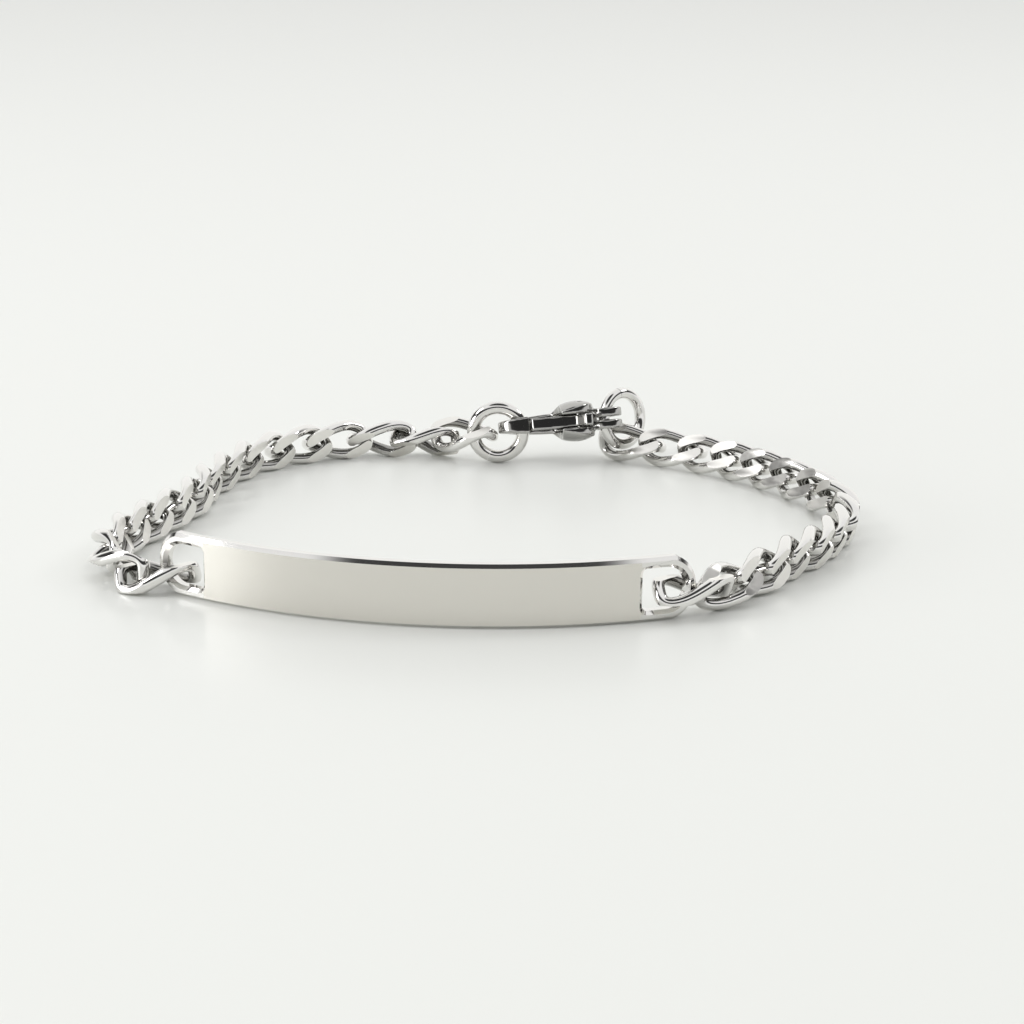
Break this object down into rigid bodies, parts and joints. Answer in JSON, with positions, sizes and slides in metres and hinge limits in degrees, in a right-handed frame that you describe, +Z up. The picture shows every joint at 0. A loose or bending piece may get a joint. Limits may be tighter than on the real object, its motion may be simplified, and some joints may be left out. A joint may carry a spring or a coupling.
{
  "type": "id bracelet",
  "caption": "Identity bracelet: a curved blank plate on two twisted curb chains, closed at the back by a lobster clasp between jump rings, standing on its edge as a loop.",
  "frame": {"origin": "middle of the loop's box, on the surface that the bracelet stands on", "axes": "+X along the plate, to the right when its front is seen; +Y from the plate to the clasp; +Z up, across the chain's width"},
  "size_m": [0.0735, 0.0622, 0.008],
  "materials": {
    "plate": "satin face with polished edges",
    "chain": "polished wire with satin filed faces",
    "fittings": "polished"
  },
  "bodies": {
    "bracelet": {"plate": "plate", "ring_hook": "fittings", "ring_tail": "fittings", "clasp_body": "fittings", "clasp_rivet": "fittings", "link_left_1": "chain", "link_left_2": "chain", "link_left_3": "chain", "link_left_4": "chain", "link_left_5": "chain", "link_left_6": "chain", "link_left_7": "chain", "link_left_8": "chain", "link_left_9": "chain", "link_left_10": "chain", "link_left_11": "chain", "link_left_12": "chain", "link_left_13": "chain", "link_left_14": "chain", "link_left_15": "chain", "link_left_16": "chain", "link_right_1": "chain", "link_right_2": "chain", "link_right_3": "chain", "link_right_4": "chain", "link_right_5": "chain", "link_right_6": "chain", "link_right_7": "chain", "link_right_8": "chain", "link_right_9": "chain", "link_right_10": "chain", "link_right_11": "chain", "link_right_12": "chain", "link_right_13": "chain", "link_right_14": "chain", "link_right_15": "chain", "link_right_16": "chain"},
    "lever": {"clasp_lever": "fittings"}
  },
  "joints": [
    {"name": "lever_pivot", "type": "hinge", "parent": "bracelet", "child": "lever", "pos_m": [0.00676, 0.02485, 0.00502], "axis": [0.1358, -0.271, -0.953], "range_deg": [0, 22], "stiffness_Nm_per_rad": 0.004, "springref_deg": -20.05}
  ]
}
